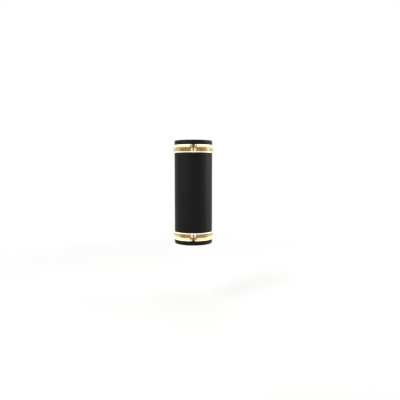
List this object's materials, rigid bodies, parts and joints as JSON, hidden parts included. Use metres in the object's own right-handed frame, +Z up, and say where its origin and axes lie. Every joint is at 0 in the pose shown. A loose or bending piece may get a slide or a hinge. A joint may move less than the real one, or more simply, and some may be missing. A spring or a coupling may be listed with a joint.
{
  "type": "wall light",
  "caption": "Cylindrical wall light that shines up and down, with a clear ring and a thin cap at each end, a back box and a wall bracket.",
  "frame": {"origin": "on the wall, midway between the two wall screws, at mid-height of the light", "axes": "+Y into the wall, so the front faces -Y; +Z up along the tube; +X to the right seen from the front"},
  "size_m": [0.074, 0.099, 0.19],
  "materials": {
    "black_coat": "satin powder coat on aluminium",
    "clear_acrylic": "clear cast acrylic, polished",
    "clear_glass": "clear toughened glass",
    "reflector_glass": "pressed glass with a thin mirror coat that glows amber from outside",
    "quartz": "clear quartz",
    "ceramic_white": "white steatite, unglazed",
    "steel_plain": "plain steel",
    "steel_bright": "stainless steel",
    "steel_zinc": "zinc-plated sheet steel",
    "brass": "plain brass",
    "tin": "tinned copper",
    "silicone": "black silicone",
    "rubber_black": "black rubber",
    "foam_black": "closed-cell foam",
    "terminal_plastic": "natural nylon",
    "lead_brown": "brown silicone sleeve",
    "lead_blue": "blue silicone sleeve",
    "lead_green": "green silicone sleeve"
  },
  "bodies": {
    "fitting": {"tube_body": "black_coat", "back_box": "black_coat", "upper_lampholder": "ceramic_white", "lower_lampholder": "ceramic_white", "upper_holder_nuts": "steel_plain", "upper_holder_screws": "steel_plain", "lower_holder_nuts": "steel_plain", "lower_holder_screws": "steel_plain", "saddle_screws": "steel_plain", "block_screws": "steel_plain", "terminal_screws": "steel_plain", "bracket_spacers": "steel_plain", "box_side_screws": "steel_bright", "lamp_bracket": "steel_zinc", "wall_bracket": "steel_zinc", "upper_contacts": "brass", "lower_contacts": "brass", "terminal_clamps": "brass", "earth_screw": "brass", "earth_lug": "tin", "upper_tube_gasket": "rubber_black", "lower_tube_gasket": "rubber_black", "wire_grommet": "rubber_black", "box_gasket": "foam_black", "terminal_block": "terminal_plastic", "upper_live_lead": "lead_brown", "lower_live_lead": "lead_brown", "upper_neutral_lead": "lead_blue", "lower_neutral_lead": "lead_blue", "earth_lead": "lead_green"},
    "upper_lens_stack": {"upper_cap": "black_coat", "upper_cap_screws": "steel_bright", "upper_glass": "clear_glass", "upper_glass_seal": "silicone", "upper_rim_gasket": "rubber_black", "upper_ring": "clear_acrylic"},
    "upper_lamp": {"upper_lamp_base": "ceramic_white", "upper_lamp_reflector": "reflector_glass", "upper_lamp_front_glass": "clear_glass", "upper_lamp_capsule": "quartz", "upper_lamp_pins": "steel_plain"},
    "lower_lens_stack": {"lower_cap": "black_coat", "lower_cap_screws": "steel_bright", "lower_glass": "clear_glass", "lower_glass_seal": "silicone", "lower_rim_gasket": "rubber_black", "lower_ring": "clear_acrylic"},
    "lower_lamp": {"lower_lamp_base": "ceramic_white", "lower_lamp_reflector": "reflector_glass", "lower_lamp_front_glass": "clear_glass", "lower_lamp_capsule": "quartz", "lower_lamp_pins": "steel_plain"}
  },
  "joints": [
    {"name": "upper_lens_stack_lift", "type": "slide", "parent": "fitting", "child": "upper_lens_stack", "axis": [0, 0, 1], "range_m": [0, 0.04]},
    {"name": "upper_lamp_twist", "type": "hinge", "parent": "fitting", "child": "upper_lamp", "pos_m": [0, -0.062, 0], "axis": [0, 0, 1], "range_deg": [0, 30]},
    {"name": "lower_lens_stack_lift", "type": "slide", "parent": "fitting", "child": "lower_lens_stack", "axis": [0, 0, -1], "range_m": [0, 0.04]},
    {"name": "lower_lamp_twist", "type": "hinge", "parent": "fitting", "child": "lower_lamp", "pos_m": [0, -0.062, 0], "axis": [0, 0, -1], "range_deg": [0, 30]}
  ]
}
